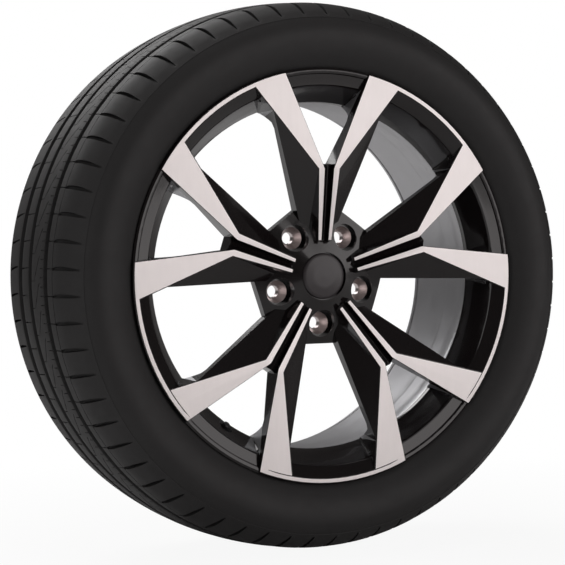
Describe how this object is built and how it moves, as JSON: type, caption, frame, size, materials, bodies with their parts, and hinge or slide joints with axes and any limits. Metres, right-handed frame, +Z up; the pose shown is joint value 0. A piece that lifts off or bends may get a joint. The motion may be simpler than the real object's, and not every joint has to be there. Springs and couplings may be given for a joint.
{
  "type": "car wheel and tyre",
  "caption": "Cast car wheel with pairs of twin spokes and turned faces, fitted with a grooved road tyre, centre cap and snap-in valve.",
  "frame": {"origin": "centre of the wheel: on the axle, midway between the two rim flanges and the tyre's two sides", "axes": "+Y along the axle towards the car, so the outer face looks towards -Y; +Z up; +X to the right as seen from outside; one pair of spokes points up along +Z"},
  "size_m": [0.6775, 0.238, 0.6776],
  "materials": {
    "wheel_paint": "cast alloy in gloss black paint with turned bright faces",
    "wheel_face": "turned and clear coated",
    "tyre_rubber": "matte black rubber",
    "cap_plastic": "satin dark grey",
    "spring_steel": "bright drawn wire",
    "valve_rubber": "matte black rubber",
    "valve_brass": "plain brass",
    "valve_plastic": "matte black"
  },
  "bodies": {
    "wheel_assembly": {"wheel": "wheel_paint", "tyre": "tyre_rubber", "centre_cap": "cap_plastic", "cap_spring_ring": "spring_steel", "valve_body": "valve_rubber", "valve_stem": "valve_brass", "valve_core": "valve_brass"},
    "core_pin": {"valve_pin": "valve_brass"},
    "dust_cap": {"valve_cap": "valve_plastic"}
  },
  "joints": [
    {"name": "core_pin_press", "type": "slide", "parent": "wheel_assembly", "child": "core_pin", "axis": [-0.4299, 0.682, -0.5917], "range_m": [0, 0.0012], "stiffness_N_per_m": 400, "springref_m": -0.003},
    {"name": "dust_cap_off", "type": "slide", "parent": "wheel_assembly", "child": "dust_cap", "axis": [0.4299, -0.682, 0.5917], "range_m": [0, 0.009]}
  ]
}
